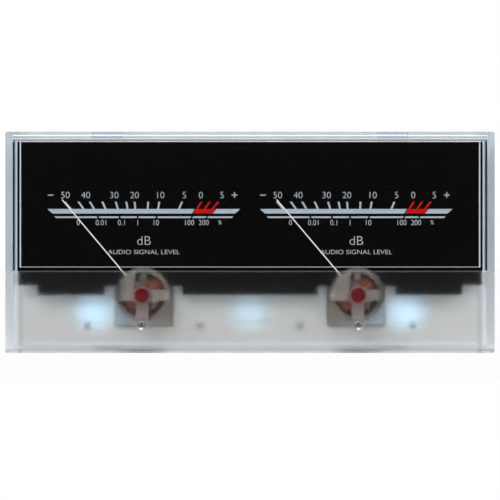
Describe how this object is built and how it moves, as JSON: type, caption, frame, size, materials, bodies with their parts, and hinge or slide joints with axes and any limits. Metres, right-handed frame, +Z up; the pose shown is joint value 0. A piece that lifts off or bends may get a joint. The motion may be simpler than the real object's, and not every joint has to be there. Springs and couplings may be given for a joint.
{
  "type": "analog level meter",
  "caption": "Wide panel meter module: clear cover with a raised window, black dial with printed level scales, needle pointers on moving-coil movements, lamps and rear solder tags",
  "frame": {"origin": "middle of the footprint of the whole module, on the surface that its lower edge stands on", "axes": "+X to the viewer's right, +Y from the window back to the terminals, +Z up"},
  "size_m": [0.134, 0.034, 0.0606],
  "materials": {
    "clear_acrylic": "polished",
    "white_plastic": "satin",
    "brass_insert": "satin",
    "black_plate": "satin",
    "steel": "satin",
    "board_laminate": "satin",
    "socket_plastic": "satin",
    "bulb_glass": "polished",
    "blue_cap": "satin",
    "tinned_brass": "satin",
    "cast_grey": "satin",
    "soft_iron": "satin",
    "magnet": "satin",
    "bridge_alloy": "satin",
    "red_lacquer": "gloss",
    "brass_screw": "satin",
    "lever_brass": "satin",
    "clear_plastic": "polished",
    "white_aluminium": "satin",
    "former_aluminium": "satin",
    "copper_wire": "satin",
    "spring_bronze": "satin"
  },
  "bodies": {
    "case": {"front_cover": "clear_acrylic", "rear_base": "white_plastic", "mounting_inserts": "brass_insert", "dial_plate": "black_plate", "light_panel": "white_plastic", "panel_screws": "steel", "lamp_board": "board_laminate", "board_screws": "steel", "lamp_sockets": "socket_plastic", "lamp_bulbs": "bulb_glass", "lamp_caps": "blue_cap", "lamp_tags": "tinned_brass", "left_movement_frame": "cast_grey", "left_stop_pins": "brass_insert", "left_movement_yoke": "soft_iron", "left_yoke_rivets": "steel", "left_mounting_plate": "steel", "left_core_magnet": "magnet", "left_front_bridge": "bridge_alloy", "left_rear_bridge": "bridge_alloy", "left_bridge_screws": "steel", "left_front_jewel_screw": "red_lacquer", "left_rear_jewel_screw": "brass_screw", "left_movement_screws": "steel", "left_terminal_tags": "tinned_brass", "right_movement_frame": "cast_grey", "right_stop_pins": "brass_insert", "right_movement_yoke": "soft_iron", "right_yoke_rivets": "steel", "right_mounting_plate": "steel", "right_core_magnet": "magnet", "right_front_bridge": "bridge_alloy", "right_rear_bridge": "bridge_alloy", "right_bridge_screws": "steel", "right_front_jewel_screw": "red_lacquer", "right_rear_jewel_screw": "brass_screw", "right_movement_screws": "steel", "right_terminal_tags": "tinned_brass"},
    "left_zero_adjuster": {"left_zero_screw": "clear_plastic"},
    "left_lever": {"left_zero_lever": "lever_brass"},
    "left_moving_coil": {"left_pointer": "white_aluminium", "left_balance_weights": "brass_screw", "left_coil_former": "former_aluminium", "left_coil_winding": "copper_wire", "left_pivot_staffs": "steel", "left_front_hairspring": "spring_bronze", "left_rear_hairspring": "spring_bronze"},
    "right_zero_adjuster": {"right_zero_screw": "clear_plastic"},
    "right_lever": {"right_zero_lever": "lever_brass"},
    "right_moving_coil": {"right_pointer": "white_aluminium", "right_balance_weights": "brass_screw", "right_coil_former": "former_aluminium", "right_coil_winding": "copper_wire", "right_pivot_staffs": "steel", "right_front_hairspring": "spring_bronze", "right_rear_hairspring": "spring_bronze"}
  },
  "joints": [
    {"name": "left_zero_screw_turn", "type": "hinge", "parent": "case", "child": "left_zero_adjuster", "pos_m": [-0.0298, -0.014, 0.00755], "axis": [0, 1, 0], "range_deg": [-45, 45]},
    {"name": "left_zero_lever_swing", "type": "hinge", "parent": "case", "child": "left_lever", "pos_m": [-0.0298, -0.0116, 0.0157], "axis": [0, 1, 0], "range_deg": [-3.7, 3.7]},
    {"name": "left_pointer_swing", "type": "hinge", "parent": "left_lever", "child": "left_moving_coil", "pos_m": [-0.0298, -0.01, 0.0157], "axis": [0, 1, 0], "range_deg": [-2, 82], "stiffness_Nm_per_rad": 0.000008, "deforming": ["left_front_hairspring", "left_rear_hairspring"]},
    {"name": "right_zero_screw_turn", "type": "hinge", "parent": "case", "child": "right_zero_adjuster", "pos_m": [0.0298, -0.014, 0.00755], "axis": [0, 1, 0], "range_deg": [-45, 45]},
    {"name": "right_zero_lever_swing", "type": "hinge", "parent": "case", "child": "right_lever", "pos_m": [0.0298, -0.0116, 0.0157], "axis": [0, 1, 0], "range_deg": [-3.7, 3.7]},
    {"name": "right_pointer_swing", "type": "hinge", "parent": "right_lever", "child": "right_moving_coil", "pos_m": [0.0298, -0.01, 0.0157], "axis": [0, 1, 0], "range_deg": [-2, 82], "stiffness_Nm_per_rad": 0.000008, "deforming": ["right_front_hairspring", "right_rear_hairspring"]}
  ],
  "couplings": [
    {"joint": "left_zero_lever_swing", "follows": "left_zero_screw_turn", "ratio": -0.07947},
    {"joint": "right_zero_lever_swing", "follows": "right_zero_screw_turn", "ratio": -0.07947}
  ]
}
